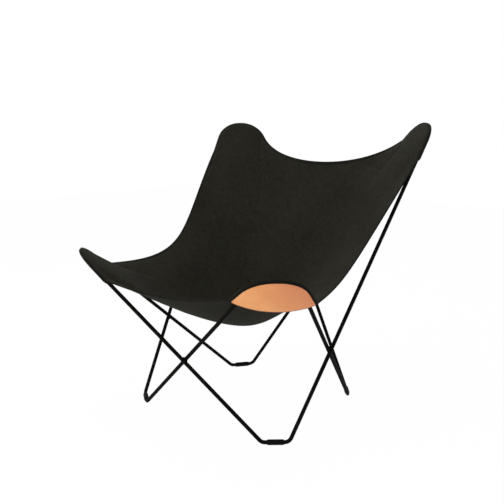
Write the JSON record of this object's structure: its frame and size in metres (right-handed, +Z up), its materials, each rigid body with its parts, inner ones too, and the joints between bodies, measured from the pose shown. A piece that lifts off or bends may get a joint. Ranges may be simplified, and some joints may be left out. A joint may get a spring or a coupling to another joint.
{
  "type": "butterfly sling chair",
  "caption": "Free-standing lounge chair: a dark canvas sling hung by leather corner pockets on a welded frame of bent black steel rod.",
  "frame": {"origin": "on the floor, under the middle of the chair's bounding box", "axes": "+Z up, the chair faces -Y, +X to the right of someone who looks at its front"},
  "size_m": [0.8944, 0.925, 0.9258],
  "materials": {
    "rod": "satin black powder coat",
    "weld": "satin black powder coat over a weld bead",
    "glide": "matte black moulded plastic",
    "canvas": "heavy black-olive cotton canvas, matte",
    "tape": "folded woven tape, matte",
    "leather": "natural vegetable-tanned leather, satin"
  },
  "bodies": {
    "root": {"rod_loop_front_left": "rod", "rod_loop_front_right": "rod", "weld_front": "weld", "weld_back": "weld", "weld_right": "weld", "weld_left": "weld", "floor_glide_front_right": "glide", "floor_glide_front_left": "glide", "floor_glide_back_left": "glide", "floor_glide_back_right": "glide", "sling_body": "canvas", "edge_binding_right": "tape", "edge_binding_back": "tape", "edge_binding_left": "tape", "edge_binding_front": "tape", "pocket_binding_front_right": "tape", "pocket_binding_back_right": "tape", "pocket_binding_back_left": "tape", "pocket_binding_front_left": "tape", "pocket_leather_front_right": "leather", "pocket_leather_back_right": "leather", "pocket_leather_back_left": "leather", "pocket_leather_front_left": "leather"}
  },
  "joints": []
}
